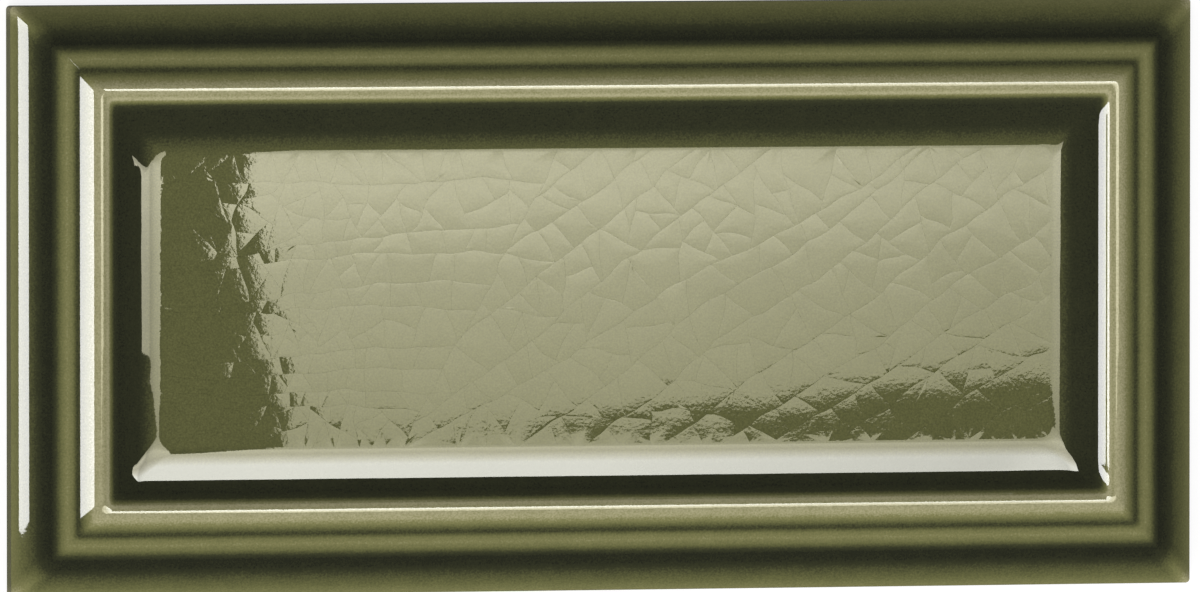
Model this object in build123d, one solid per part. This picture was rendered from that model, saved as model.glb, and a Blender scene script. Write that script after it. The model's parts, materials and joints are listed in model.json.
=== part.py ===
from build123d import *
import math
import os

# Crackle glaze wall tile: one fired piece, a sunk panel inside a stepped picture-frame moulding.
# The tile lies on its back, face up. The origin is at the middle of the back, +X along its length.
# All sizes are in millimetres.

# Plan of the tile
tile_length = 149.0
tile_width = 73.0
plan_corner_radius = 0.5

# Members of the moulding, from the outer edge inwards: how wide each is, and how far it rises or drops
back_chamfer = 0.6
side_height = 3.9
ovolo_width = 1.5
ovolo_rise = 1.9
apron_width = 2.7
apron_rise = 0.66
step_width = 1.5
step_rise = 0.75
ridge_width = 2.15
ridge_rise = 0.5
bead_outer_width = 2.85
bead_rise = 1.79
bead_inner_width = 2.25
bead_drop = 2.5
runout_width = 4.15
runout_drop = 0.81
panel_margin = 2.0

# Roundings between those members
arris_radius = 0.4
ovolo_radius = 5.8
quirk_radius = 1.2
ridge_radius = 3.0
valley_radius = 1.5
bead_radius = 1.6
cove_radius = 5.5
runout_radius = 13.0

# Keying pressed into the back, so that adhesive holds: a grid of shallow pockets with drafted walls
key_columns = 10
key_rows = 5
key_border = 4.0
key_rib = 2.5
key_depth = 0.8
key_corner_radius = 1.0
key_draft = 20.0

# Share of a member's length that the two roundings at its ends may take up together
rounding_room = 0.98


def moulding_points():
    """Corners of the moulding before rounding, as inset from the tile's edge and height above the back."""
    steps = [
        (ovolo_width, ovolo_rise),
        (apron_width, apron_rise),
        (step_width, step_rise),
        (ridge_width, ridge_rise),
        (bead_outer_width, bead_rise),
        (bead_inner_width, -bead_drop),
        (runout_width, -runout_drop),
        (panel_margin, 0),
    ]
    points = [(0, back_chamfer), (0, side_height)]
    for width, rise in steps:
        inset, height = points[-1]
        points.append((inset + width, height + rise))
    return points


def limited_radii(points, radii):
    """Corner radii, each made smaller where two roundings would meet on the member between them."""
    legs = [Vector(end) - Vector(start) for start, end in zip(points, points[1:])]
    turns = [before.get_angle(after) for before, after in zip(legs, legs[1:])]
    cuts = [radius * math.tan(math.radians(turn) / 2) for radius, turn in zip(radii, turns)]
    shares = []
    for leg, first, second in zip(legs, [0, *cuts], [*cuts, 0]):
        room = leg.length * rounding_room
        shares.append(room / max(room, first + second))
    return [radius * min(pair) for radius, pair in zip(radii, zip(shares, shares[1:]))]


def moulding_section(plane, edge):
    """Closed section of the moulding in a plane, with its outer side at the given edge."""
    radii = [
        arris_radius,
        ovolo_radius,
        quirk_radius,
        ridge_radius,
        valley_radius,
        bead_radius,
        cove_radius,
        runout_radius,
    ]
    points = moulding_points()
    radii = limited_radii(points, radii)
    points = [(edge + inset, height) for inset, height in points]
    inner = points[-1][0]
    face_line = FilletPolyline(*points, radius=radii)
    back_line = Polyline(points[-1], (inner, 0), (edge + back_chamfer, 0), points[0])
    return plane * make_face([*face_line.edges(), *back_line.edges()])


def plan_prism(outline):
    """Upright prism over a plan outline, tall enough to hold the whole tile."""
    highest = max(height for inset, height in moulding_points())
    return extrude(outline, amount=highest)


def frame_and_panel():
    """Four lengths of moulding mitred at the corners, and the slab of the sunk panel between them."""
    x_edge = tile_length / 2
    y_edge = tile_width / 2
    inset, panel_height = moulding_points()[-1]
    x_inner = x_edge - inset
    y_inner = y_edge - inset
    long_plan = make_face(
        Polyline((-x_edge, -y_edge), (x_edge, -y_edge), (x_inner, -y_inner), (-x_inner, -y_inner), close=True)
    )
    short_plan = make_face(
        Polyline((-x_edge, -y_edge), (-x_inner, -y_inner), (-x_inner, y_inner), (-x_edge, y_edge), close=True)
    )
    long_run = extrude(moulding_section(Plane.YZ, -y_edge), amount=x_edge, both=True)
    short_run = extrude(moulding_section(Plane.XZ, -x_edge), amount=y_edge, both=True)
    long_side = long_run & plan_prism(long_plan)
    short_side = short_run & plan_prism(short_plan)
    panel = extrude(Rectangle(2 * x_inner, 2 * y_inner), amount=panel_height)
    sides = [long_side, mirror(long_side, Plane.XZ), short_side, mirror(short_side, Plane.YZ)]
    return panel + sides


def key_pockets():
    """Pockets of the keying grid on the back, each narrowing as it goes in."""
    x_pitch = (tile_length - 2 * key_border + key_rib) / key_columns
    y_pitch = (tile_width - 2 * key_border + key_rib) / key_rows
    mouth = RectangleRounded(x_pitch - key_rib, y_pitch - key_rib, key_corner_radius)
    pocket = extrude(mouth, amount=key_depth, taper=key_draft)
    return [place * pocket for place in GridLocations(x_pitch, y_pitch, key_columns, key_rows)]


def tile():
    """The whole tile, with its plan corners rounded and its back keyed."""
    plan = RectangleRounded(tile_length, tile_width, plan_corner_radius)
    return (frame_and_panel() & plan_prism(plan)) - key_pockets()


os.makedirs("parts", exist_ok=True)
export_step(tile(), "parts/tile.step")
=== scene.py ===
import json
import math
import random

import bmesh
import bpy
from mathutils import Matrix, Vector, noise

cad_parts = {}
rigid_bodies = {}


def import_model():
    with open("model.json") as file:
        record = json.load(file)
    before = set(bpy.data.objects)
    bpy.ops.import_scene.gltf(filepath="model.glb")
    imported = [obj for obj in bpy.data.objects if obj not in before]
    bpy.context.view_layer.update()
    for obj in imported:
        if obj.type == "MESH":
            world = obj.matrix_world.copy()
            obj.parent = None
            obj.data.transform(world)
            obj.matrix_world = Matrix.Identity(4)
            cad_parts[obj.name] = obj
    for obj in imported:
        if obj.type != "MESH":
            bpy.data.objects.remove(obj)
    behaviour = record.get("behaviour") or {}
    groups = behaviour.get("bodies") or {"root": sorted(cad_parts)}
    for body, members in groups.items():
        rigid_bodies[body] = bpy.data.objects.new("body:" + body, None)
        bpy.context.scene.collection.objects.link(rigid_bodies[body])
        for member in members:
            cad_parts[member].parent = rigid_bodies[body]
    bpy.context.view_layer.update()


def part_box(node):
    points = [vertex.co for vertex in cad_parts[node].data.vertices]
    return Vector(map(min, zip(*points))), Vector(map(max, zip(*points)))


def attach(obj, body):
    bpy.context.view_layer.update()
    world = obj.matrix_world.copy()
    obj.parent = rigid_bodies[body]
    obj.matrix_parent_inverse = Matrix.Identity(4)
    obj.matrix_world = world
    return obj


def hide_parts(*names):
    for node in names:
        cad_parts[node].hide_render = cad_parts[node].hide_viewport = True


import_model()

bl_info = {
    "name": "Crackle glaze wall tile",
    "version": (1, 0, 0),
    "blender": (4, 5, 0),
    "location": "3D View > Sidebar > Tile",
    "description": "Models a framed wall tile with a crackled olive glaze, and a plain studio round it",
    "category": "Object",
}

MM = 0.001
DEG = math.pi / 180

# Plan of the tile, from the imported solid
TILE_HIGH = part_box("tile")[1]
HALF_LENGTH = TILE_HIGH.x
HALF_WIDTH = TILE_HIGH.y

# The photograph's width in pixels, its pixels per millimetre of the tile, and the camera's sensor
FRAME_WIDTH = 1200
PIXELS_PER_MM = 8.064
SENSOR_WIDTH = 36

# Points nearer to each other than this are one, in the tile and in its finely cut panel
WELD = 0.001 * MM
FINE_WELD = 0.0005 * MM

# How far a point may lie off a level and still count as on it
LEVEL_SLACK = 0.01 * MM

# The crack between the level and the slanting ones, against the tile's length
CHANGE_SLANT = 62 * DEG

# A crack that passes nearer to a corner than this goes through it
CRACK_SLACK = 0.02 * MM

# How far chance moves the cracks: shares of a spacing or a length, and turns in degrees
SPACING_SPREAD = (0.7, 1.3)
LONG_CRACK_TURN = (-5, 5)
LONGEST_SPREAD = (0.75, 1.25)
SPLIT_SPREAD = (-0.15, 0.15)
CROSS_CRACK_TURN = (-25, 25)

# Length into which cracks are divided, the strip inside the border where they stay straight, and the next
# strip, over which they begin to wander
CRACK_STEP = 0.8 * MM
STRAIGHT_STRIP = 0.4 * MM
WANDER_STRIP = 3 * MM

# How often the rims that have folded over are drawn together
UNFOLD_ROUNDS = 15

# Where two sides meet, their insets blend over this many times the corner's radius, which follows its arc
CORNER_BLEND = 1.17

# Inset at which the glaze's thickness stops changing
THICKNESS_REACH = 19 * MM


def length(name, millimetres, description):
    """A length that a user may change, written in millimetres and kept in metres."""
    return bpy.props.FloatProperty(
        name=name, description=description, default=millimetres * MM, precision=5, unit="LENGTH"
    )


def angle(name, degrees, description):
    """An angle that a user may change, written in degrees and kept in radians."""
    return bpy.props.FloatProperty(
        name=name, description=description, default=degrees * DEG, precision=4, subtype="ANGLE"
    )


def count(name, number, description):
    """A whole number that a user may change."""
    return bpy.props.IntProperty(name=name, description=description, default=number, min=0)


def plain_number(name, value, description):
    """A plain number that a user may change."""
    return bpy.props.FloatProperty(name=name, description=description, default=value)


def spot(name, x, y, description):
    """A place on the tile's face that a user may change, written in millimetres and kept in metres."""
    return bpy.props.FloatVectorProperty(
        name=name, description=description, default=(x * MM, y * MM), size=2, precision=5, unit="LENGTH"
    )


def linear(code):
    """An sRGB hex colour as linear red, green, blue."""
    shares = [int(code[place:place + 2], 16) / 255 for place in (1, 3, 5)]
    return [share / 12.92 if share <= 0.04045 else ((share + 0.055) / 1.055) ** 2.4 for share in shares]


def colour(name, code, description):
    """A colour that a user may change, written as sRGB hex and kept linear."""
    return bpy.props.FloatVectorProperty(
        name=name, description=description, default=linear(code), subtype="COLOR", size=3, min=0, max=1
    )


class MouldingSizes(bpy.types.PropertyGroup):
    """Members of the moulding from the outer edge inwards, and the roundings between them."""

    back_chamfer: length("Back chamfer", 0.6, "Bevel round the back edge")
    side_height: length("Side height", 3.9, "Height of the straight side")
    ovolo_width: length("Ovolo width", 1.5, "Width of the steep part of the outer round")
    ovolo_rise: length("Ovolo rise", 1.9, "Rise of the steep part of the outer round")
    apron_width: length("Apron width", 2.7, "Width of the gentle slope behind the outer round")
    apron_rise: length("Apron rise", 0.66, "Rise of the gentle slope")
    step_width: length("Step width", 1.5, "Width of the step up to the ridge")
    step_rise: length("Step rise", 0.75, "Rise of the step up to the ridge")
    ridge_width: length("Ridge width", 2.15, "Width of the gentle slope behind the ridge")
    ridge_rise: length("Ridge rise", 0.5, "Rise of the gentle slope behind the ridge")
    bead_outer_width: length("Bead outer width", 2.85, "Width of the bead's outer slope")
    bead_rise: length("Bead rise", 1.79, "Rise of the bead's outer slope")
    bead_inner_width: length("Bead inner width", 2.25, "Width of the bead's inner slope")
    bead_drop: length("Bead drop", 2.5, "Fall of the bead's inner slope")
    runout_width: length("Run-out width", 4.15, "Width over which the cove runs out to the panel")
    runout_drop: length("Run-out drop", 0.81, "Fall of the run-out")
    panel_margin: length("Panel margin", 2.0, "Flat margin of the panel")
    arris_radius: length("Arris radius", 0.4, "Rounding at the top of the side")
    ovolo_radius: length("Ovolo radius", 5.8, "Rounding of the outer round")
    quirk_radius: length("Quirk radius", 1.2, "Rounding in front of the step")
    ridge_radius: length("Ridge radius", 3.0, "Rounding of the ridge")
    valley_radius: length("Valley radius", 1.5, "Rounding of the valley")
    bead_radius: length("Bead radius", 1.6, "Rounding of the bead's crest")
    cove_radius: length("Cove radius", 5.5, "Rounding of the cove inside the bead")
    runout_radius: length("Run-out radius", 13.0, "Rounding where the run-out meets the panel")
    corner_outer: length("Outer corner radius", 0.5, "Corner rounding of the tile's outline")
    corner_mitre: length("Mitre corner radius", 0.45, "Corner rounding along the sharp mitres")
    corner_bead: length("Bead corner radius", 1.1, "Corner rounding inside the bead, filled by glaze")
    corner_cove: length("Cove corner radius", 2.4, "Corner rounding in the cove, where glaze pools")
    corner_runout: length("Run-out corner radius", 1.3, "Corner rounding half way down the run-out")
    corner_panel: length("Panel corner radius", 2.0, "Corner rounding where the run-out meets the panel")
    corner_filled: length("Filled corner radius", 4.2, "Corner rounding in the cove at the upper left")
    meniscus_reach: length("Meniscus reach", 20.4, "Inset from which the glaze creeps up the moulding")
    meniscus_radius: length("Meniscus radius", 370.0, "Hollow radius of the glaze creeping up")
    ripple_height: length("Ripple height", 0.006, "Height of the slow ripples that firing leaves")
    ripple_length: length("Ripple length", 4.5, "Distance between those ripples")


class CrackleSizes(bpy.types.PropertyGroup):
    """The plates between the hairline cracks of the sunk panel."""

    border: length("Border", 18.0, "Inset from the tile's edge at which the crackled panel begins")
    margin: length("Margin", 0.12, "Uncracked strip round the crackled panel")
    change_place: length("Change place", -16.0, "Where the long cracks change from level to slanting")
    level_slant: angle("Level slant", 2.0, "Slant of the long cracks at the left")
    steep_slant: angle("Steep slant", 34.0, "Slant of the long cracks in the middle and at the right")
    level_spacing: length("Level crack spacing", 3.7, "Distance between them at the left")
    steep_spacing: length("Steep crack spacing", 4.6, "Distance between them in the middle and at the right")
    plate_left: length("Longest plate at the left", 4.8, "Length past which a plate splits again at the left")
    plate_longest: length("Longest plate", 7.2, "Length past which a plate splits again elsewhere")
    bend: length("Bend", 1.5, "How far the cracks wander from straight lines")
    bend_length: length("Bend length", 20.0, "Distance over which the cracks wander")
    wobble: length("Wobble", 0.55, "How far the cracks waver between two plates")
    wobble_length: length("Wobble length", 3.4, "Distance over which the cracks waver")
    crack_half_width: length("Crack half width", 0.005, "Half the width of a crack")
    crack_depth: length("Crack depth", 0.02, "Depth of a crack")
    rim_width: length("Rim width", 0.25, "Strip along a crack in which a plate's face turns down")
    rim_turn: angle("Rim turn", 0.125, "How far it turns down there at the left and along the lower side")
    relief_turn: angle("Relief turn", 0.42, "How far it turns down in the middle, where the cracks gape more")
    relief_left: length("Relief left", -37.0, "Where along the tile the cracks begin to gape more")
    relief_low: length("Relief low", -10.0, "Where across the tile the cracks begin to gape more")
    relief_ease: length("Relief ease", 9.0, "Distance over which they do so")
    tilt_along: angle("Tilt along", 0.11, "How far plates tilt along the tile, one against another")
    tilt_across: angle("Tilt across", 0.045, "How far plates tilt across the tile")
    plate_dome: angle("Plate dome", 0.05, "How far a plate falls off from its middle to its rim")
    seed: count("Seed", 7, "Start of the chance that places the cracks")


class KeyingSizes(bpy.types.PropertyGroup):
    """The pockets pressed into the back."""

    columns: count("Columns", 10, "Pockets along the tile")
    rows: count("Rows", 5, "Pockets across the tile")
    border: length("Border", 4.0, "Plain border round the pockets")
    rib: length("Rib", 2.5, "Rib between two pockets")
    depth: length("Depth", 0.8, "Depth of a pocket")
    draft: angle("Draft", 20.0, "Slant of a pocket's walls")
    corner_radius: length("Corner radius", 1.0, "Corner rounding of a pocket")


class GlazeColours(bpy.types.PropertyGroup):
    """Colours of the glaze from where it lies thinnest to where it pools, and of the bare body."""

    # The thinnest colour also paints the light line just inside the crest, which is partly a painted
    # reflection
    thinnest: colour("Thinnest", "#A8A380", "Glaze drawn off the bead's crest")
    thin: colour("Thin", "#79784E", "Glaze on the ridge")
    even: colour("Even", "#5E5F3A", "Glaze on the flat panel")
    thick: colour("Thick", "#353723", "Glaze gathered in a valley")
    pooled: colour("Pooled", "#222418", "Glaze pooled at its deepest")
    bisque: colour("Bisque", "#D8CBB2", "Bare fired body")


class StudioSizes(bpy.types.PropertyGroup):
    """Camera, softbox, strip light, tent and floor."""

    lens: plain_number("Lens", 600.0, "Focal length in millimetres")
    tilt_left: angle("Tilt left", 11.0, "How far the camera leans from upright towards the tile's left end")
    tilt_up: angle("Tilt up", 3.0, "How far the camera leans towards the tile's upper side")
    roll: angle("Roll", 0.0, "Turn of the camera about its own axis")
    softbox_height: length("Softbox height", 600.0, "Height of the large softbox above the floor")
    softbox_top: length("Softbox top", 262.0, "How far it reaches towards the tile's upper side")
    low_left: spot("Low left", -39.4, -18.6, "Where the panel mirrors the softbox's lower left corner")
    high_left: spot("High left", -47.9, 18.9, "Where the panel mirrors a place on the softbox's left edge")
    low_middle: spot("Low middle", 60.0, -10.15, "Where it would mirror the middle of the softbox's low edge")
    low_right: spot("Low right", 152.0, -9.0, "Where it would mirror the softbox's lower right corner")
    wing_top: length("Wing top", 100.0, "How far the softbox's right end reaches towards the upper side")
    dim_low: length("Dim low", -51.0, "Where the softbox's cloth is dimmest, across the tile")
    bright_high: length("Bright high", 153.0, "Where it is brightest, across the tile")
    fade_left: length("Fade left", 75.0, "Where the cloth begins to fade along the tile")
    fade_right: length("Fade right", 300.0, "Where it has come back to full strength")
    softbox_strength: plain_number("Softbox strength", 17.5, "Strength of the softbox at its brightest")
    strip_strength: plain_number("Strip strength", 14.0, "Strength of the strip light")
    strip_near: length("Strip near end", -52.0, "End of the strip light towards the tile's lower side")
    strip_far: length("Strip far end", 60.0, "End of the strip light towards the tile's upper side")
    strip_reach: length("Strip reach", 450.0, "Distance of the low strip light at the left")
    strip_low: angle("Strip low edge", 79.0, "Angle from upright of the strip light's low edge")
    strip_high: angle("Strip high edge", 55.0, "Angle from upright of the strip light's high edge")
    tent_width: length("Tent width", 4000.0, "Side of the black tent")
    tent_height: length("Tent height", 2000.0, "Height of the black tent, half of it below the floor")
    tent_strength: plain_number("Tent strength", 0.08, "Faint glow of the black tent")
    floor_size: length("Floor size", 8000.0, "Side of the floor")
    floor_white: plain_number("Floor white", 0.75, "Glow of the floor for the camera alone")


def fresh_selection():
    """Leaves edit mode with nothing selected."""
    if bpy.context.mode != "OBJECT":
        bpy.ops.object.mode_set(mode="OBJECT")
    bpy.ops.object.select_all(action="DESELECT")


def open_piece(piece, pick="FACE"):
    """Opens one piece alone in edit mode with nothing picked, and gives its mesh."""
    fresh_selection()
    bpy.context.view_layer.objects.active = piece
    piece.select_set(True)
    bpy.ops.object.mode_set(mode="EDIT")
    bpy.ops.mesh.select_mode(type=pick)
    bpy.ops.mesh.select_all(action="DESELECT")
    return bmesh.from_edit_mesh(piece.data)


def pick_faces(piece, wanted):
    """Picks the faces for which wanted(face) holds, and no others."""
    bpy.ops.mesh.select_all(action="DESELECT")
    for face in bmesh.from_edit_mesh(piece.data).faces:
        if wanted(face):
            face.select_set(True)


def pick_edges(piece, wanted):
    """Picks the edges for which wanted(edge) holds, and no others."""
    bpy.ops.mesh.select_all(action="DESELECT")
    for edge in bmesh.from_edit_mesh(piece.data).edges:
        if wanted(edge):
            edge.select_set(True)


def smooth_step(share):
    """Rises from 0 to 1 with level ends."""
    share = max(0.0, min(1.0, share))
    return share * share * (3 - 2 * share)


def between(value, table):
    """Value of a rising table of pairs, in a straight line between its entries."""
    for (low, at_low), (high, at_high) in zip(table, table[1:]):
        if value <= high:
            share = max(0.0, (value - low) / (high - low))
            return at_low + share * (at_high - at_low)
    return table[-1][1]


def section_corners(sizes):
    """Corners of the moulding's section as inset and height, and the rounding of each inner one."""
    members = [
        (sizes.ovolo_width, sizes.ovolo_rise, sizes.arris_radius),
        (sizes.apron_width, sizes.apron_rise, sizes.ovolo_radius),
        (sizes.step_width, sizes.step_rise, sizes.quirk_radius),
        (sizes.ridge_width, sizes.ridge_rise, sizes.ridge_radius),
        (sizes.bead_outer_width, sizes.bead_rise, sizes.valley_radius),
        (sizes.bead_inner_width, -sizes.bead_drop, sizes.bead_radius),
        (sizes.runout_width, -sizes.runout_drop, sizes.cove_radius),
        (sizes.panel_margin, 0, sizes.runout_radius),
    ]
    corners = [Vector((0, sizes.back_chamfer)), Vector((0, sizes.side_height))]
    for width, rise, radius in members:
        corners.append(corners[-1] + Vector((width, rise)))
    return corners, [radius for width, rise, radius in members]


def member_insets(sizes):
    """Insets of the section's corners by name, from the outer round's knee to the run-out's foot."""
    names = ("knee", "quirk", "ridge", "valley", "crest", "cove", "foot")
    corners = section_corners(sizes)[0]
    return dict(zip(names, [corner.x for corner in corners[2:]]))


def rounded_line(corners, radii, arc_step=3.0 * DEG, line_step=0.3 * MM):
    """Points along a line whose inner corners are rounded by arcs."""
    line = [corners[0]]
    for before, corner, after, radius in zip(corners, corners[1:], corners[2:], radii):
        arrive = (corner - before).normalized()
        leave = (after - corner).normalized()
        turn = math.atan2(arrive.x * leave.y - arrive.y * leave.x, arrive.dot(leave))
        side = math.copysign(1, turn)
        start = corner - arrive * radius * math.tan(abs(turn) / 2)
        centre = start + Vector((-arrive.y, arrive.x)) * side * radius
        extend_straight(line, start, line_step)
        steps = max(2, math.ceil(abs(turn) / arc_step), math.ceil(abs(turn) * radius / line_step))
        for step in range(1, steps + 1):
            turned = turn * step / steps
            spoke = start - centre
            line.append(centre + Vector((
                spoke.x * math.cos(turned) - spoke.y * math.sin(turned),
                spoke.x * math.sin(turned) + spoke.y * math.cos(turned),
            )))
    extend_straight(line, corners[-1], line_step)
    return line


def extend_straight(line, end, line_step):
    """Carries a line on to a point in even steps."""
    start = line[-1]
    steps = max(1, math.ceil((end - start).length / line_step))
    for step in range(1, steps + 1):
        line.append(start.lerp(end, step / steps))


def rim_points(inset, radii, long_steps=74, short_steps=36, corner_steps=12):
    """Points round the tile at one inset, with its four corners rounded, from the lower right one onwards."""
    arcs = []
    for quarter, radius in enumerate(radii):
        x = (HALF_LENGTH - inset - radius) * (1 if quarter in (0, 1) else -1)
        y = (HALF_WIDTH - inset - radius) * (1 if quarter in (1, 2) else -1)
        arc = []
        for step in range(corner_steps + 1):
            turned = math.pi / 2 * (quarter - 1 + step / corner_steps)
            arc.append(Vector((x + radius * math.cos(turned), y + radius * math.sin(turned))))
        arcs.append(arc)
    points = []
    for quarter, arc in enumerate(arcs):
        points.extend(arc)
        steps = long_steps if quarter % 2 else short_steps
        following = arcs[(quarter + 1) % 4][0]
        for step in range(1, steps):
            points.append(arc[-1].lerp(following, step / steps))
    return points


def corner_rounding(sizes):
    """Corner rounding of the outlines, by inset."""
    at = member_insets(sizes)
    return [
        (0, sizes.corner_outer),
        (at["knee"], sizes.corner_mitre),
        (at["valley"], sizes.corner_mitre),
        (at["crest"], 0.8 * sizes.corner_bead),
        (at["crest"] + 0.4 * MM, sizes.corner_bead),
        (at["crest"] + 1.5 * MM, 1.5 * sizes.corner_bead),
        (at["cove"] + 0.45 * MM, sizes.corner_cove),
        (0.5 * (at["cove"] + at["foot"]) + 0.2 * MM, sizes.corner_runout),
        (at["foot"] + 0.9 * MM, sizes.corner_panel),
    ]


def filled_rounding(sizes):
    """Corner rounding at the upper left, where more glaze has run into the cove, by inset."""
    at = member_insets(sizes)
    return [
        (at["cove"] - MM, 0),
        (at["cove"] + 0.8 * MM, sizes.corner_filled),
        (at["foot"] - 0.6 * MM, sizes.corner_filled),
        (at["foot"] + 0.9 * MM, 0),
    ]


def meniscus(sizes, inset):
    """Extra height of the glaze where it creeps up towards the moulding."""
    at = member_insets(sizes)
    share = smooth_step((inset - at["crest"]) / (at["foot"] - at["crest"]))
    short = max(0.0, sizes.meniscus_reach - inset)
    return share * short * short / (2 * sizes.meniscus_radius)


def ripple(sizes, x, y):
    """Height of the glaze's slow ripples at a place."""
    place = Vector((x, y, 0)) / sizes.ripple_length
    return sizes.ripple_height * (noise.noise(place) + 0.5 * noise.noise(place * 2.3))


def moulded_ring(sizes, crackle):
    """The moulding: a sheet of faces bent round the tile, from the back's edge up and in to the panel."""
    section = rounded_line(*section_corners(sizes))
    line = [Vector((sizes.back_chamfer, 0))]
    line += [point for point in section if point.x < crackle.border - 0.1 * MM]
    line.append(Vector((crackle.border, height_at(crackle.border, section))))
    rounding = corner_rounding(sizes)
    filled = filled_rounding(sizes)
    rows = []
    for inset, height in line:
        plain = between(inset, rounding)
        fuller = max(plain, between(inset, filled))
        rim = rim_points(inset, (plain, plain, fuller, plain))
        share = smooth_step((height - sizes.side_height) / MM) * smooth_step((crackle.border - inset) / MM)
        height += meniscus(sizes, inset)
        rows.append([(x, y, height + share * ripple(sizes, x, y)) for x, y in rim + rim[:1]])
    fresh_selection()
    columns_wide = len(rows[0]) - 1
    rows_high = len(rows) - 1
    bpy.ops.mesh.primitive_grid_add(x_subdivisions=columns_wide, y_subdivisions=rows_high, size=1)
    ring = bpy.context.object
    for vertex in ring.data.vertices:
        column = round((vertex.co.x + 0.5) * columns_wide)
        row = round((vertex.co.y + 0.5) * rows_high)
        vertex.co = rows[row][column]
    open_piece(ring)
    bpy.ops.mesh.select_all(action="SELECT")
    bpy.ops.mesh.remove_doubles(threshold=WELD)
    return ring


def height_at(inset, line):
    """Height of the section at an inset on the face."""
    face = [(point.x, point.y) for point in line if point.x > 0]
    return between(inset, face)


def cap_ring(ring, at_height):
    """Closes one open edge of the ring with a single face, which is left picked."""
    open_piece(ring, "EDGE")
    pick_edges(ring, lambda edge: edge.is_boundary and abs(edge.verts[0].co.z - at_height) < LEVEL_SLACK)
    bpy.ops.mesh.edge_face_add()
    bpy.ops.mesh.select_mode(type="FACE")


def long_way(face):
    """The direction in which a plate is longest, how far it reaches that way, and its middle."""
    points = [vertex.co.xy for vertex in face.verts]
    best = None
    tries = 36
    for step in range(tries):
        turned = math.pi * step / tries
        along = Vector((math.cos(turned), math.sin(turned)))
        places = [point.dot(along) for point in points]
        reach = max(places) - min(places)
        if best is None or reach > best[1]:
            best = (along, reach, 0.5 * (max(places) + min(places)))
    along, reach, middle = best
    across = Vector((-along.y, along.x))
    places = [point.dot(across) for point in points]
    return along, reach, along * middle + across * 0.5 * (max(places) + min(places))


def split_plates(panel, crackle):
    """Cuts the panel's face into plates: long cracks, level at the left and slanting beyond, then others."""
    chance = random.Random(crackle.seed)
    mesh = open_piece(panel)
    mesh.faces.layers.int.new("plate")
    bpy.ops.mesh.select_all(action="SELECT")
    bpy.ops.mesh.inset(thickness=crackle.margin, depth=0)
    level = next(iter(mesh.verts)).co.z

    def plates():
        mesh = bmesh.from_edit_mesh(panel.data)
        return mesh.faces, mesh.faces.layers.int["plate"]

    def crack(number, through, turned):
        plate = plates()[1]
        pick_faces(panel, lambda face: face[plate] == number)
        across = (-math.sin(turned), math.cos(turned), 0)
        bpy.ops.mesh.bisect(plane_co=(*through, level), plane_no=across, threshold=CRACK_SLACK)

    faces, plate = plates()
    for face in faces:
        face[plate] = 1 if face.select else 0
    crack(1, (crackle.change_place, 0), CHANGE_SLANT)
    faces, plate = plates()
    for face in faces:
        if face[plate] == 1 and face.calc_center_median().x > crackle.change_place:
            face[plate] = 2
    level_way = (1, crackle.level_slant, crackle.level_spacing)
    steep_way = (2, crackle.steep_slant, crackle.steep_spacing)
    for number, slant, spacing in (level_way, steep_way):
        offset = -HALF_LENGTH
        while offset < HALF_LENGTH:
            offset += spacing * chance.uniform(*SPACING_SPREAD)
            through = Vector((-math.sin(slant), math.cos(slant))) * offset
            crack(number, through, slant + chance.uniform(*LONG_CRACK_TURN) * DEG)
    faces, plate = plates()
    waiting = []
    for face in faces:
        if face[plate] > 0:
            waiting.append(len(waiting) + 1)
            face[plate] = waiting[-1]
    last = len(waiting)
    while waiting:
        number = waiting.pop(0)
        faces, plate = plates()
        along, reach, middle = long_way(next(face for face in faces if face[plate] == number))
        share = smooth_step((middle.x - crackle.relief_left) / (2 * crackle.relief_ease))
        longest = crackle.plate_left + share * (crackle.plate_longest - crackle.plate_left)
        if reach < longest * chance.uniform(*LONGEST_SPREAD):
            continue
        through = middle + along * reach * chance.uniform(*SPLIT_SPREAD)
        turned = (90 + chance.uniform(*CROSS_CRACK_TURN)) * DEG
        crack(number, through, math.atan2(along.y, along.x) + turned)
        faces, plate = plates()
        for half in [face for face in faces if face[plate] == number]:
            last += 1
            half[plate] = last
            waiting.append(last)


def from_edges(x, y, rounding=0.0):
    """Distance of a place from the nearest edge of the tile, with its outlines rounded at the corners."""
    to_end = HALF_LENGTH - abs(x)
    to_side = HALF_WIDTH - abs(y)
    blend = CORNER_BLEND * rounding
    overlap = max(blend - abs(to_end - to_side), 0.0)
    return min(to_end, to_side) - (overlap * overlap / (4 * blend) if blend else 0.0)


def bend_cracks(panel, crackle):
    """Divides the cracks into short lengths and lets them wander, less and less towards the border."""
    mesh = bmesh.from_edit_mesh(panel.data)
    plate = mesh.faces.layers.int["plate"]
    cracks = [edge for edge in mesh.edges if all(face[plate] > 0 for face in edge.link_faces)]
    for edge in cracks:
        pieces = int(edge.calc_length() / CRACK_STEP)
        if pieces > 0:
            bmesh.ops.bisect_edges(mesh, edges=[edge], cuts=pieces)
    elsewhere = Vector((7, 3, 0))
    for vertex in mesh.verts:
        if vertex.is_boundary:
            continue
        x, y = vertex.co.xy
        hold = smooth_step((from_edges(x, y) - crackle.border - STRAIGHT_STRIP) / WANDER_STRIP)
        for reach, size in ((crackle.bend, crackle.bend_length), (crackle.wobble, crackle.wobble_length)):
            place = Vector((x, y, 0)) / size
            vertex.co.x += reach * hold * noise.noise(place + elsewhere)
            vertex.co.y += reach * hold * noise.noise(place)
    bmesh.update_edit_mesh(panel.data)


def beside_crack(edge, plate):
    """True for an edge with a plate on one side and a crack on the other."""
    return len({face[plate] > 0 for face in edge.link_faces}) == 2


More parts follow.
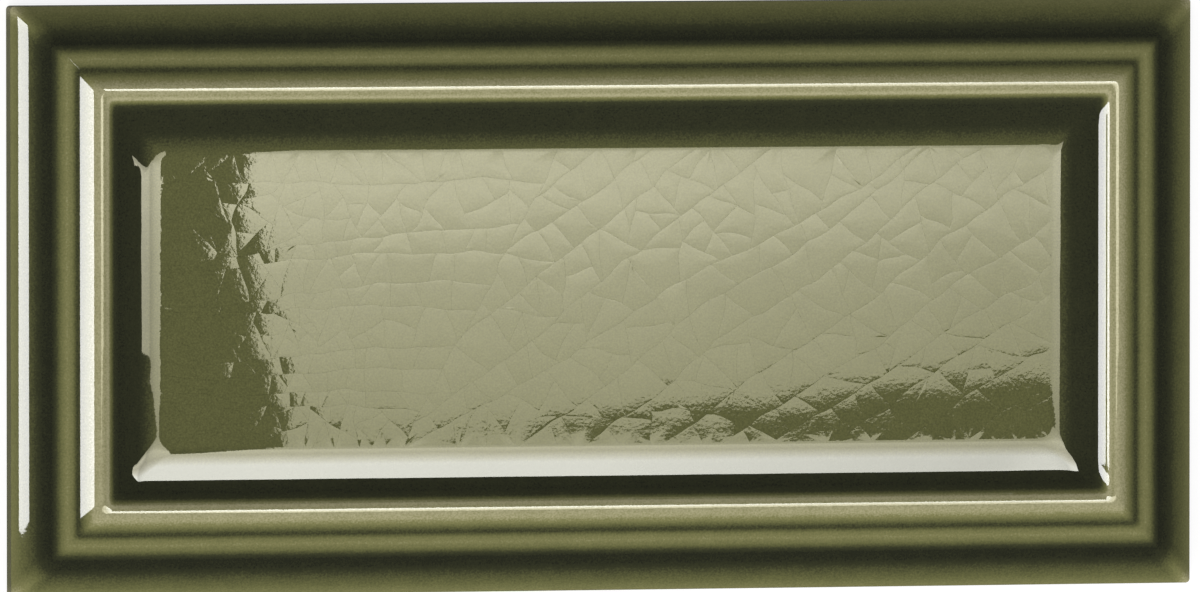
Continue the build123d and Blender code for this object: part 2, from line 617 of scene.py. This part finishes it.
def open_cracks(panel, crackle):
    """Insets every plate twice, for the crack beside it and for its rim, and gives it a middle point."""
    plate = bmesh.from_edit_mesh(panel.data).faces.layers.int["plate"]
    pick_faces(panel, lambda face: face[plate] > 0)
    bpy.ops.mesh.inset(thickness=crackle.crack_half_width, depth=0, use_individual=True)
    mesh = bmesh.from_edit_mesh(panel.data)
    plate = mesh.faces.layers.int["plate"]
    for face in mesh.faces:
        if not face.select:
            face[plate] = 0
    bpy.ops.mesh.inset(thickness=crackle.rim_width, depth=0, use_individual=True, use_even_offset=False)
    bpy.ops.mesh.poke()
    bpy.ops.mesh.select_mode(type="EDGE")
    plate = bmesh.from_edit_mesh(panel.data).faces.layers.int["plate"]
    pick_edges(panel, lambda edge: beside_crack(edge, plate))
    bpy.ops.mesh.mark_sharp()
    bpy.ops.mesh.select_mode(type="FACE")


def unfold_rims(panel):
    """Draws together the inner points of a rim wherever it has folded over itself at a narrow corner."""
    mesh = bmesh.from_edit_mesh(panel.data)
    plate = mesh.faces.layers.int["plate"]
    for attempt in range(UNFOLD_ROUNDS):
        mesh.normal_update()
        up = sum(face.normal.z * face.calc_area() for face in mesh.faces)
        for face in mesh.faces:
            if face[plate] == 0 or face.normal.z * up >= 0:
                continue
            for edge in face.edges:
                if sorted(len(beside.verts) for beside in edge.link_faces) == [3, 4]:
                    middle = (edge.verts[0].co + edge.verts[1].co) / 2
                    for vertex in edge.verts:
                        vertex.co = middle
    bmesh.update_edit_mesh(panel.data)
    bpy.ops.mesh.select_all(action="SELECT")
    bpy.ops.mesh.remove_doubles(threshold=FINE_WELD)


def refine_runout(panel, crackle, reach=18.5 * MM, step=0.18 * MM):
    """Adds cuts beside the panel's border, where the surface still curves, and along the mitres."""
    joints = [vertex.co.copy() for vertex in bmesh.from_edit_mesh(panel.data).verts if vertex.is_boundary]
    border = []
    inset = crackle.border + step
    while inset < reach:
        border.append(inset)
        inset += step

    def near_end(face):
        return min(HALF_LENGTH - side * vertex.co.x for vertex in face.verts) < reach

    def near_side(face):
        return min(HALF_WIDTH - side * vertex.co.y for vertex in face.verts) < reach

    slack = 0.002 * MM
    for side in (-1, 1):
        for inset in border:
            x = side * (HALF_LENGTH - inset)
            pick_faces(panel, near_end)
            bpy.ops.mesh.bisect(plane_co=(x, 0, 0), plane_no=(1, 0, 0), threshold=slack)
            y = side * (HALF_WIDTH - inset)
            pick_faces(panel, near_side)
            bpy.ops.mesh.bisect(plane_co=(0, y, 0), plane_no=(0, 1, 0), threshold=slack)
    for side_x in (-1, 1):
        for side_y in (-1, 1):
            def in_corner(face):
                middle = face.calc_center_median()
                near_x = HALF_LENGTH - side_x * middle.x < reach + 2 * MM
                return near_x and HALF_WIDTH - side_y * middle.y < reach + 2 * MM
            pick_faces(panel, in_corner)
            corner = (side_x * HALF_LENGTH, side_y * HALF_WIDTH, 0)
            bpy.ops.mesh.bisect(plane_co=corner, plane_no=(side_x, -side_y, 0), threshold=slack)
    for vertex in bmesh.from_edit_mesh(panel.data).verts:
        if vertex.is_boundary:
            vertex.co = min(joints, key=lambda joint: (joint - vertex.co).length_squared)
    bpy.ops.mesh.select_all(action="SELECT")
    bpy.ops.mesh.remove_doubles(threshold=FINE_WELD)


def gape(crackle, x, y):
    """How far plates turn down beside their cracks at a place."""
    share = smooth_step((x - crackle.relief_left) / crackle.relief_ease)
    share *= smooth_step((y - crackle.relief_low) / crackle.relief_ease)
    return crackle.rim_turn + share * (crackle.relief_turn - crackle.rim_turn)


def shape_plates(panel, sizes, crackle):
    """Sets every height of the panel: the cove's run-out, each plate's own tilt and dome, and the cracks."""
    chance = random.Random(crackle.seed + 1)
    line = rounded_line(*section_corners(sizes))
    mesh = bmesh.from_edit_mesh(panel.data)
    plate = mesh.faces.layers.int["plate"]
    rims = {}
    for face in mesh.faces:
        if face[plate] > 0:
            rims.setdefault(face[plate], set()).update(face.verts)
    rounding = between(crackle.border, corner_rounding(sizes))
    in_cracks = set(mesh.verts)
    lowered = {}
    for number in sorted(rims):
        in_cracks -= rims[number]
        places = [vertex.co.xy for vertex in rims[number]]
        middle = sum(places, Vector((0, 0))) / len(places)
        reach = max((place - middle).length for place in places)
        tilt = Vector((chance.gauss(0, crackle.tilt_along), chance.gauss(0, crackle.tilt_across)))
        for vertex in rims[number]:
            away = vertex.co.xy - middle
            lowered[vertex] = crackle.plate_dome * away.length_squared / reach - tilt.dot(away)
            rim = [edge for edge in vertex.link_edges if beside_crack(edge, plate)]
            if len(rim) == 2:
                ways = [(edge.other_vert(vertex).co.xy - vertex.co.xy).normalized() for edge in rim]
                narrowed = (ways[0] - ways[1]).length / 2
                lowered[vertex] += crackle.rim_width * narrowed * math.tan(gape(crackle, *middle))
    on_plates = dict(lowered)
    for vertex in in_cracks:
        others = [edge.other_vert(vertex) for edge in vertex.link_edges]
        beside = [on_plates[other] for other in others if other in on_plates]
        lowered[vertex] = crackle.crack_depth + max(beside, default=0)
    for vertex in mesh.verts:
        if vertex.is_boundary:
            continue
        inset = from_edges(vertex.co.x, vertex.co.y, rounding)
        held = smooth_step((inset - crackle.border - crackle.margin) / MM)
        inset = max(inset, crackle.border)
        vertex.co.z = height_at(inset, line) + meniscus(sizes, inset) - held * lowered[vertex]


def key_back(tile, keying):
    """Presses the grid of pockets into the back, which is the face left picked."""
    x_edge = HALF_LENGTH - keying.border + keying.rib / 2
    y_edge = HALF_WIDTH - keying.border + keying.rib / 2

    def on_back(face):
        return all(abs(vertex.co.z) < LEVEL_SLACK for vertex in face.verts)

    for column in range(keying.columns + 1):
        x = x_edge * (2 * column / keying.columns - 1)
        pick_faces(tile, on_back)
        bpy.ops.mesh.bisect(plane_co=(x, 0, 0), plane_no=(1, 0, 0), threshold=WELD)
    for row in range(keying.rows + 1):
        y = y_edge * (2 * row / keying.rows - 1)
        pick_faces(tile, on_back)
        bpy.ops.mesh.bisect(plane_co=(0, y, 0), plane_no=(0, 1, 0), threshold=WELD)

    def in_grid(face):
        middle = face.calc_center_median()
        return on_back(face) and abs(middle.x) < x_edge and abs(middle.y) < y_edge

    pick_faces(tile, in_grid)
    bpy.ops.mesh.inset(thickness=keying.rib / 2, depth=0, use_individual=True)
    draft = keying.depth * math.tan(keying.draft)
    bpy.ops.mesh.inset(thickness=draft, depth=-keying.depth, use_individual=True)
    bpy.ops.mesh.select_mode(type="EDGE")
    pick_edges(tile, lambda edge: is_pocket_corner(edge, keying))
    bpy.ops.mesh.bevel(offset=keying.corner_radius, offset_type="OFFSET", segments=4, affect="EDGES")


def is_pocket_corner(edge, keying):
    """True for the slanting edge at a pocket's corner."""
    low, high = sorted(vertex.co.z for vertex in edge.verts)
    inside = all(from_edges(vertex.co.x, vertex.co.y) > keying.border / 2 for vertex in edge.verts)
    return inside and low < keying.depth / 2 < high < 1.5 * keying.depth


def add_node(material, kind, inputs=(), **settings):
    """Adds a node to a material or world, with its settings, and its values and links by socket."""
    node = material.node_tree.nodes.new(kind)
    for name, value in settings.items():
        setattr(node, name, value)
    for socket, value in dict(inputs).items():
        if isinstance(value, bpy.types.NodeSocket):
            material.node_tree.links.new(value, node.inputs[socket])
        else:
            node.inputs[socket].default_value = value
    return node


def set_ramp(node, stops):
    """Fills a colour ramp with stops of place and colour."""
    ramp = node.color_ramp
    while len(ramp.elements) > 1:
        ramp.elements.remove(ramp.elements[-1])
    for number, (place, tone) in enumerate(stops):
        stop = ramp.elements[0] if number == 0 else ramp.elements.new(place)
        stop.position = place
        stop.color = (*tone, 1)


def grey(stops):
    """Stops of place and level as stops of place and grey."""
    return [(place, (level, level, level)) for place, level in stops]


def thickness_and_sheen_stops(sizes):
    """How thick the glaze lies at each inset, from 0 where it is drawn off to 1 where it pools; the thin
    light line just inside the bead's crest is partly thin glaze and partly a painted reflection.
    """
    at = member_insets(sizes)
    quirk, ridge, valley = at["quirk"], at["ridge"], at["valley"]
    crest, cove, foot = at["crest"], at["cove"], at["foot"]
    stops = [
        (0.0, 0.30),
        (0.5 * MM, 0.38),
        (1.1 * MM, 0.50),
        (0.6 * quirk, 0.72),
        (0.85 * quirk, 0.94),
        (quirk + 0.35 * MM, 1.0),
        (0.5 * (quirk + ridge) + 0.25 * MM, 0.74),
        (ridge + 0.1 * MM, 0.42),
        (ridge + 0.75 * MM, 0.25),
        (0.5 * (ridge + valley) + 0.3 * MM, 0.36),
        (valley - 0.2 * MM, 0.74),
        (valley + 0.1 * MM, 0.72),
        (valley + 1.0 * MM, 0.30),
        (crest - 1.2 * MM, 0.12),
        (crest - 0.2 * MM, 0.05),
        (crest + 0.25 * MM, 0.14),
        # Partly thin glaze, partly a painted reflection: this stop is lightened to stand in for the light
        # line mirrored on the bead's inner slope
        (crest + 0.7 * MM, 0.02),
        (crest + 1.0 * MM, 0.30),
        (crest + 1.5 * MM, 0.78),
        (cove, 0.92),
        (cove + 2.6 * MM, 0.88),
        (foot - 0.6 * MM, 0.74),
        (foot + 0.6 * MM, 0.60),
        (foot + 1.6 * MM, 0.52),
    ]
    return grey([(inset / THICKNESS_REACH, thick) for inset, thick in stops])


def olive_crackle_glaze(sizes, colours):
    """Glossy lead-bright olive glaze fired over a cream body.

    The melt drew off the high edges, where the pale body shows through it, and pooled dark in the hollows.
    Its face is fire polished, so it mirrors what stands above it; the bare body below the glaze line is matt.
    """
    material = bpy.data.materials.new("olive_crackle_glaze")
    material.use_nodes = True
    material.node_tree.nodes.clear()
    place = add_node(material, "ShaderNodeTexCoord").outputs["Object"]
    axes = add_node(material, "ShaderNodeSeparateXYZ", {0: place}).outputs
    from_edge = []
    for axis, half in (("X", HALF_LENGTH), ("Y", HALF_WIDTH)):
        size = add_node(material, "ShaderNodeMath", {0: axes[axis]}, operation="ABSOLUTE").outputs[0]
        rest = add_node(material, "ShaderNodeMath", {0: half, 1: size}, operation="SUBTRACT").outputs[0]
        from_edge.append(rest)
    inset = add_node(
        material, "ShaderNodeMath", {0: from_edge[0], 1: from_edge[1], 2: 1.0 * MM}, operation="SMOOTH_MIN"
    ).outputs[0]
    share = add_node(
        material, "ShaderNodeMath", {0: inset, 1: THICKNESS_REACH}, operation="DIVIDE"
    ).outputs[0]
    # Glaze thickness by inset; the pale stop just inside the bead's crest is partly a painted reflection
    thickness = add_node(material, "ShaderNodeValToRGB", {0: share})
    set_ramp(thickness, thickness_and_sheen_stops(sizes))

    # Along the outer mitres the glaze is drawn off the edge
    apart = add_node(
        material, "ShaderNodeMath", {0: from_edge[0], 1: from_edge[1]}, operation="SUBTRACT"
    ).outputs[0]
    apart = add_node(material, "ShaderNodeMath", {0: apart}, operation="ABSOLUTE").outputs[0]
    near_mitre = add_node(
        material, "ShaderNodeMapRange", {0: apart, 1: 0.0, 2: 2.2 * MM, 3: 1.0, 4: 0.0},
        interpolation_type="SMOOTHSTEP",
    ).outputs[0]
    outer = add_node(
        material, "ShaderNodeMapRange", {0: inset, 1: 2.2 * MM, 2: 5.2 * MM, 3: 0.25, 4: 0.0},
        interpolation_type="SMOOTHSTEP",
    ).outputs[0]
    drawn_off = add_node(
        material, "ShaderNodeMath", {0: near_mitre, 1: outer}, operation="MULTIPLY"
    ).outputs[0]
    thick = add_node(
        material, "ShaderNodeMath", {0: thickness.outputs[0], 1: drawn_off}, operation="SUBTRACT"
    ).outputs[0]

    # Slow clouds of 3 mm and specks of 0.24 mm, drawn a little coarser than they are so that they show
    for size, amount in ((3.0 * MM, 0.08), (0.24 * MM, 0.38)):
        cloud = add_node(
            material, "ShaderNodeTexNoise", {"Vector": place, "Scale": 1 / size, "Detail": 2.0}
        ).outputs[0]
        cloud = add_node(material, "ShaderNodeMath", {0: cloud, 1: 0.5}, operation="SUBTRACT").outputs[0]
        thick = add_node(
            material, "ShaderNodeMath", {0: cloud, 1: amount, 2: thick}, operation="MULTIPLY_ADD"
        ).outputs[0]
    tone = add_node(material, "ShaderNodeValToRGB", {0: thick})
    set_ramp(tone, [
        (0.0, colours.thinnest),
        (0.25, colours.thin),
        (0.5, colours.even),
        (0.78, colours.thick),
        (1.0, colours.pooled),
    ])

    # The glaze stops on the side, at an uneven line above the back, and the back's pockets are bare
    wander = add_node(material, "ShaderNodeTexNoise", {"Vector": place, "Scale": 1 / (6 * MM)}).outputs[0]
    line = add_node(
        material, "ShaderNodeMath", {0: wander, 1: 0.5 * MM, 2: 0.2 * MM}, operation="MULTIPLY_ADD"
    ).outputs[0]
    inside = add_node(
        material, "ShaderNodeMath", {0: inset, 1: 1.2 * MM}, operation="GREATER_THAN"
    ).outputs[0]
    line = add_node(
        material, "ShaderNodeMath", {0: inside, 1: 2 * MM, 2: line}, operation="MULTIPLY_ADD"
    ).outputs[0]
    above = add_node(material, "ShaderNodeMath", {0: axes["Z"], 1: line}, operation="SUBTRACT").outputs[0]
    glazed = add_node(
        material, "ShaderNodeMapRange", {0: above, 1: -0.08 * MM, 2: 0.08 * MM, 3: 0.0, 4: 1.0}
    ).outputs[0]
    grain = add_node(
        material, "ShaderNodeTexNoise", {"Vector": place, "Scale": 1 / (0.6 * MM), "Detail": 4.0}
    ).outputs[0]
    body = add_node(material, "ShaderNodeValToRGB", {0: grain})
    set_ramp(body, [(0.3, [0.8 * part for part in colours.bisque]), (0.7, colours.bisque)])
    shown = add_node(
        material, "ShaderNodeMix", {0: glazed, 6: body.outputs[0], 7: tone.outputs[0]}, data_type="RGBA"
    ).outputs[2]
    rough = add_node(material, "ShaderNodeMapRange", {0: glazed, 1: 0.0, 2: 1.0, 3: 0.8, 4: 0.014}).outputs[0]

    # Orange peel: ripples 0.45 mm apart and about a thousandth of a millimetre high, which fray mirrored
    # edges, and which are lower on the moulding than on the panel
    peel = add_node(
        material, "ShaderNodeTexNoise", {"Vector": place, "Scale": 1 / (0.45 * MM), "Detail": 2.0}
    ).outputs[0]
    amount = add_node(
        material, "ShaderNodeMapRange", {0: inset, 1: 17.5 * MM, 2: 19.5 * MM, 3: 0.25, 4: 1.0}
    ).outputs[0]
    peel = add_node(material, "ShaderNodeMath", {0: peel, 1: amount}, operation="MULTIPLY").outputs[0]
    rippled = add_node(material, "ShaderNodeBump", {"Height": peel, "Distance": 0.0013 * MM}).outputs[0]
    shader = add_node(
        material, "ShaderNodeBsdfPrincipled",
        {"Base Color": shown, "Roughness": rough, "IOR": 1.55, "Normal": rippled},
    ).outputs[0]
    add_node(material, "ShaderNodeOutputMaterial", {0: shader})
    return material


def glowing(name, build):
    """A material that only glows, for the studio's lights; build gives its colour and strength sockets."""
    material = bpy.data.materials.new(name)
    material.use_nodes = True
    material.node_tree.nodes.clear()
    glow = add_node(material, "ShaderNodeEmission", build(material)).outputs[0]
    add_node(material, "ShaderNodeOutputMaterial", {0: glow})
    return material


def seen_only_in_gloss(card):
    """Makes a studio card show in reflections alone, so that it neither lights nor shades the tile."""
    card.visible_camera = False
    card.visible_diffuse = False
    card.visible_transmission = False
    card.visible_volume_scatter = False
    card.visible_shadow = False


def card_from_corners(name, corners, material):
    """A flat studio card with the given four corners."""
    fresh_selection()
    bpy.ops.mesh.primitive_plane_add(size=1)
    card = bpy.context.object
    card.name = name
    order = [(-1, -1), (1, -1), (1, 1), (-1, 1)]
    for vertex in card.data.vertices:
        signs = (round(math.copysign(1, vertex.co.x)), round(math.copysign(1, vertex.co.y)))
        vertex.co = corners[order.index(signs)]
    card.data.materials.append(material)
    seen_only_in_gloss(card)


def camera_place(studio, target):
    """Where the camera stands: so far off that the tile fills the frame as in the photograph."""
    towards = Vector((-math.tan(studio.tilt_left), math.tan(studio.tilt_up), 1)).normalized()
    distance = FRAME_WIDTH / PIXELS_PER_MM * MM * studio.lens / SENSOR_WIDTH
    return target + towards * distance


def mirrored(eye, x, y, level, height):
    """The point at a height that an eye sees mirrored at a place of a level surface."""
    ray = Vector((x, y, level)) - eye
    rise = height - level
    return Vector((x + ray.x / -ray.z * rise, y + ray.y / -ray.z * rise, height))


def soft_white_light():
    """White light from all round, stronger from the lower left."""
    world = bpy.data.worlds.new("soft_white_light")
    world.use_nodes = True
    world.node_tree.nodes.clear()
    way = add_node(world, "ShaderNodeTexCoord").outputs["Generated"]
    lean = add_node(
        world, "ShaderNodeVectorMath", {0: way, 1: (-0.35, -0.85, 0)}, operation="DOT_PRODUCT"
    ).outputs["Value"]
    level = add_node(world, "ShaderNodeMath", {0: lean, 1: 1.0}, operation="ADD").outputs[0]
    glow = add_node(world, "ShaderNodeBackground", {"Color": (1, 1, 1, 1), "Strength": level}).outputs[0]
    add_node(world, "ShaderNodeOutputWorld", {0: glow})
    return world


def white_paper(studio):
    """Matt grey paper that the camera sees as white."""
    paper = bpy.data.materials.new("white_paper")
    paper.use_nodes = True
    paper.node_tree.nodes.clear()
    seen = add_node(paper, "ShaderNodeLightPath").outputs["Is Camera Ray"]
    white = add_node(
        paper, "ShaderNodeMath", {0: seen, 1: studio.floor_white}, operation="MULTIPLY"
    ).outputs[0]
    shade = add_node(
        paper, "ShaderNodeBsdfPrincipled",
        {"Base Color": (0.35, 0.35, 0.35, 1), "Specular IOR Level": 0.0, "Roughness": 1.0,
         "Emission Color": (1, 1, 1, 1), "Emission Strength": white},
    ).outputs[0]
    add_node(paper, "ShaderNodeOutputMaterial", {0: shade})
    return paper


def lay_floor(studio):
    """The white floor, which the glaze does not mirror."""
    fresh_selection()
    bpy.ops.mesh.primitive_plane_add(size=studio.floor_size)
    floor = bpy.context.object
    floor.name = "floor"
    floor.data.materials.append(white_paper(studio))
    floor.visible_glossy = False


def pitch_tent(studio):
    """A black tent, which the glaze mirrors between the lights."""
    bpy.ops.mesh.primitive_cube_add(size=1, scale=(studio.tent_width, studio.tent_width, studio.tent_height))
    tent = bpy.context.object
    tent.name = "black_tent"
    black = glowing("tent_black", lambda card: {0: (1, 1, 1, 1), 1: studio.tent_strength})
    tent.data.materials.append(black)
    seen_only_in_gloss(tent)


def softbox_cloth(studio):
    """The softbox's cloth: warm and dim along its low edge, whiter and brighter further up."""

    def cloth_glow(card):
        place = add_node(card, "ShaderNodeTexCoord").outputs["Object"]
        axes = add_node(card, "ShaderNodeSeparateXYZ", {0: place}).outputs
        share = add_node(
            card, "ShaderNodeMapRange", {0: axes["Y"], 1: studio.dim_low, 2: studio.bright_high}
        ).outputs[0]
        tone = add_node(card, "ShaderNodeValToRGB", {0: share})
        set_ramp(tone, [
            (0.0, (1, 0.96, 0.68)),
            (0.19, (1, 0.96, 0.73)),
            (0.44, (1, 0.96, 0.74)),
            (1.0, (1, 1, 0.9)),
        ])
        power = add_node(card, "ShaderNodeValToRGB", {0: share})
        set_ramp(power, grey([
            (0.0, 0.29), (0.06, 0.36), (0.11, 0.40), (0.13, 0.43), (0.15, 0.49),
            (0.19, 0.58), (0.41, 0.52), (0.685, 0.75), (1.0, 1),
        ]))
        along = add_node(
            card, "ShaderNodeMapRange", {0: axes["X"], 1: studio.fade_left, 2: studio.fade_right}
        ).outputs[0]
        fade = add_node(card, "ShaderNodeValToRGB", {0: along})
        set_ramp(fade, grey([(0.0, 0.84), (0.2, 0.81), (0.48, 0.66), (0.6, 0.9), (1.0, 1)]))
        strength = add_node(
            card, "ShaderNodeMath", {0: power.outputs[0], 1: fade.outputs[0]}, operation="MULTIPLY"
        ).outputs[0]
        strength = add_node(
            card, "ShaderNodeMath", {0: strength, 1: studio.softbox_strength}, operation="MULTIPLY"
        ).outputs[0]
        return {0: tone.outputs[0], 1: strength}

    return glowing("softbox_cloth", cloth_glow)


def hang_softbox(studio, eye, panel_height):
    """The large softbox, placed by where its lower edge and left edge are mirrored on the panel."""
    height = studio.softbox_height
    spots = (studio.low_left, studio.high_left, studio.low_middle, studio.low_right)
    mirrors = [mirrored(eye, *place, panel_height, height) for place in spots]
    low_left, high_left, low_middle, low_right = mirrors
    slope = (high_left - low_left) / (high_left.y - low_left.y)
    top_left = low_left + slope * (studio.softbox_top - low_left.y)
    top_middle = Vector((low_middle.x, studio.softbox_top, height))
    top_right = Vector((low_right.x, studio.wing_top, height))
    cloth = softbox_cloth(studio)
    card_from_corners("softbox", [low_left, low_middle, top_middle, top_left], cloth)
    card_from_corners("softbox_wing", [low_middle, low_right, top_right, top_middle], cloth)


def stand_strip_light(studio):
    """The low strip light at the left."""
    low = Vector((-math.sin(studio.strip_low), 0, math.cos(studio.strip_low))) * studio.strip_reach
    high = Vector((-math.sin(studio.strip_high), 0, math.cos(studio.strip_high))) * studio.strip_reach
    near = Vector((0, studio.strip_near, 0))
    far = Vector((0, studio.strip_far, 0))
    cloth = glowing("strip_cloth", lambda card: {0: (1, 1, 1, 1), 1: studio.strip_strength})
    card_from_corners("strip_light", [low + near, low + far, high + far, high + near], cloth)


def stand_camera(studio, eye, target):
    """The camera, almost straight above."""
    bpy.ops.object.camera_add(location=eye)
    camera = bpy.context.object
    camera.data.lens = studio.lens
    camera.data.sensor_width = SENSOR_WIDTH
    back = (eye - target).normalized()
    right = Vector((0, 1, 0)).cross(back).normalized()
    gaze = Matrix((right, back.cross(right), back)).transposed().to_4x4()
    camera.matrix_world = Matrix.Translation(eye) @ gaze @ Matrix.Rotation(studio.roll, 4, "Z")
    bpy.context.scene.camera = camera


class TILE_OT_crackle_tile(bpy.types.Operator):
    """Models the tile: moulding, crackled panel and keyed back, as one closed piece"""

    bl_idname = "tile.crackle_tile"
    bl_label = "Crackle tile"

    def execute(self, context):
        sizes = context.scene.tile_moulding
        crackle = context.scene.tile_crackle
        tile = moulded_ring(sizes, crackle)
        tile.name = "crackle_tile"
        rims = [edge for edge in open_piece(tile).edges if edge.is_boundary]
        cap_ring(tile, max(vertex.co.z for edge in rims for vertex in edge.verts))
        bpy.ops.mesh.separate(type="SELECTED")
        fresh_selection()
        panel = next(piece for piece in context.scene.objects if piece.name.startswith("crackle_tile."))
        split_plates(panel, crackle)
        bend_cracks(panel, crackle)
        open_cracks(panel, crackle)
        unfold_rims(panel)
        refine_runout(panel, crackle)
        shape_plates(panel, sizes, crackle)
        fresh_selection()
        panel.select_set(True)
        tile.select_set(True)
        context.view_layer.objects.active = tile
        bpy.ops.object.join()
        open_piece(tile)
        bpy.ops.mesh.select_all(action="SELECT")
        bpy.ops.mesh.remove_doubles(threshold=WELD)
        cap_ring(tile, 0)
        key_back(tile, context.scene.tile_keying)
        bpy.ops.mesh.select_mode(type="FACE")
        bpy.ops.mesh.select_all(action="SELECT")
        bpy.ops.mesh.normals_make_consistent(inside=False)
        fresh_selection()
        tile.select_set(True)
        bpy.ops.object.shade_smooth_by_angle(angle=30 * DEG, keep_sharp_edges=True)
        tile.data.materials.append(olive_crackle_glaze(sizes, context.scene.tile_colours))
        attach(tile, "root")
        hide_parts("tile")
        return {"FINISHED"}


class TILE_OT_studio(bpy.types.Operator):
    """Sets up the floor, the light and the camera"""

    bl_idname = "tile.studio"
    bl_label = "Studio"

    def execute(self, context):
        studio = context.scene.tile_studio
        panel_height = section_corners(context.scene.tile_moulding)[0][-1].y
        target = Vector((-0.5 * MM, 0.06 * MM, 4 * MM))
        eye = camera_place(studio, target)
        context.scene.world = soft_white_light()
        lay_floor(studio)
        pitch_tent(studio)
        hang_softbox(studio, eye, panel_height)
        stand_strip_light(studio)
        stand_camera(studio, eye, target)
        context.scene.view_settings.view_transform = "Standard"
        return {"FINISHED"}


class TILE_PT_panel(bpy.types.Panel):
    """Lists the tile's sizes, colours and builders"""

    bl_idname = "TILE_PT_panel"
    bl_label = "Crackle glaze tile"
    bl_space_type = "VIEW_3D"
    bl_region_type = "UI"
    bl_category = "Tile"

    def draw(self, context):
        for name in GROUPS:
            box = self.layout.box()
            group = getattr(context.scene, name)
            for key in group.__annotations__:
                box.prop(group, key)
        for operator in OPERATORS:
            self.layout.operator(operator.bl_idname)


GROUPS = {
    "tile_moulding": MouldingSizes,
    "tile_crackle": CrackleSizes,
    "tile_keying": KeyingSizes,
    "tile_colours": GlazeColours,
    "tile_studio": StudioSizes,
}
OPERATORS = (TILE_OT_crackle_tile, TILE_OT_studio)


def register():
    """Registers the settings, the operators and the panel."""
    for name, group in GROUPS.items():
        bpy.utils.register_class(group)
        setattr(bpy.types.Scene, name, bpy.props.PointerProperty(type=group))
    for operator in OPERATORS:
        bpy.utils.register_class(operator)
    bpy.utils.register_class(TILE_PT_panel)


def unregister():
    """Takes them away again."""
    bpy.utils.unregister_class(TILE_PT_panel)
    for operator in OPERATORS:
        bpy.utils.unregister_class(operator)
    for name, group in GROUPS.items():
        delattr(bpy.types.Scene, name)
        bpy.utils.unregister_class(group)


def main():
    """Builds the tile and its studio."""
    register()
    bpy.ops.tile.crackle_tile()
    bpy.ops.tile.studio()


if __name__ == "__main__":
    main()
